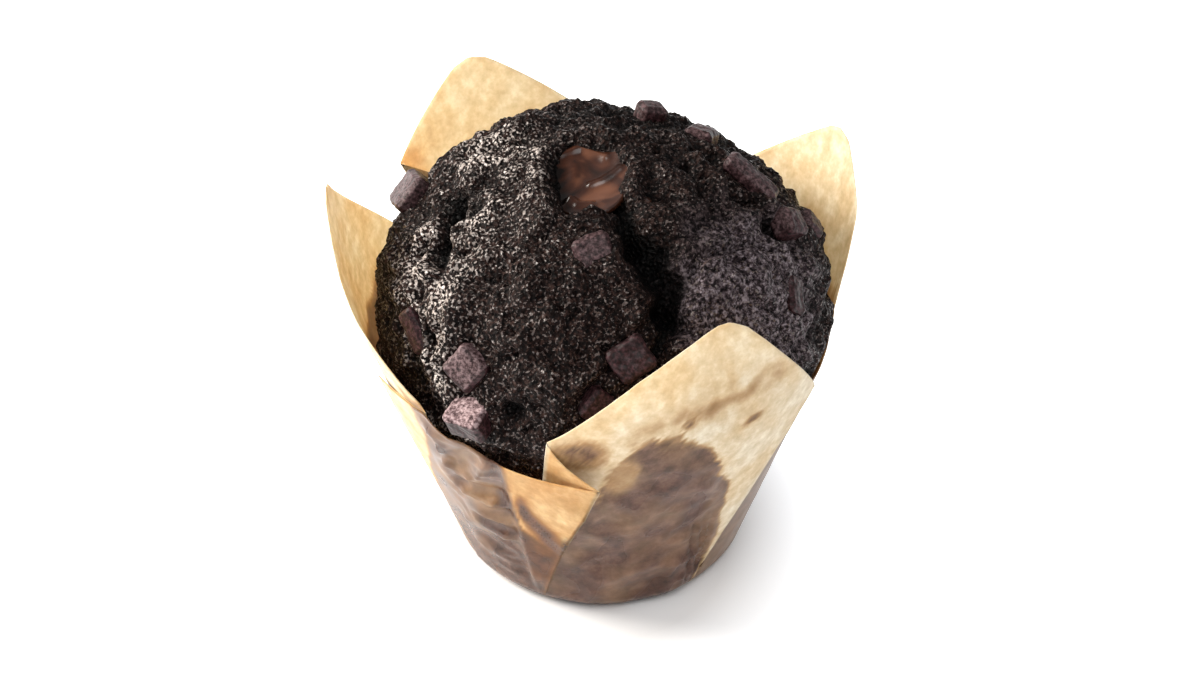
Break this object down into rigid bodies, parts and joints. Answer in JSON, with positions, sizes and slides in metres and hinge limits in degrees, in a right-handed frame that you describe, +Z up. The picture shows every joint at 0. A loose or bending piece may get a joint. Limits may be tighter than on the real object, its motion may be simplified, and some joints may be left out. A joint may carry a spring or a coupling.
{
  "type": "muffin",
  "caption": "Domed chocolate muffin with chocolate chunks and a melted chocolate crater, baked in a flared tulip cup of pleated parchment paper.",
  "frame": {"origin": "centre of the cup's round base, on the surface that the muffin stands on", "axes": "+Z up; -Y towards the front, the side with the low edge between two petals; +X to the right seen from the front"},
  "size_m": [0.0904, 0.0882, 0.0812],
  "materials": {
    "parchment": "satin",
    "crumb": "matte",
    "chocolate": "satin",
    "melted_chocolate": "gloss"
  },
  "bodies": {
    "root": {"tulip_cup": "parchment", "muffin_cake": "crumb", "melted_pool": "melted_chocolate", "melted_drip": "melted_chocolate", "chocolate_chunk_01": "chocolate", "chocolate_chunk_02": "chocolate", "chocolate_chunk_03": "chocolate", "chocolate_chunk_04": "chocolate", "chocolate_chunk_05": "chocolate", "chocolate_chunk_06": "chocolate", "chocolate_chunk_07": "chocolate", "chocolate_chunk_08": "chocolate", "chocolate_chunk_09": "chocolate", "chocolate_chunk_10": "chocolate", "chocolate_chunk_11": "chocolate", "chocolate_chunk_12": "chocolate", "chocolate_chunk_13": "chocolate", "chocolate_chunk_14": "chocolate", "chocolate_chunk_15": "chocolate", "chocolate_chunk_16": "chocolate", "chocolate_chunk_17": "chocolate", "chocolate_chunk_18": "chocolate"}
  },
  "joints": []
}
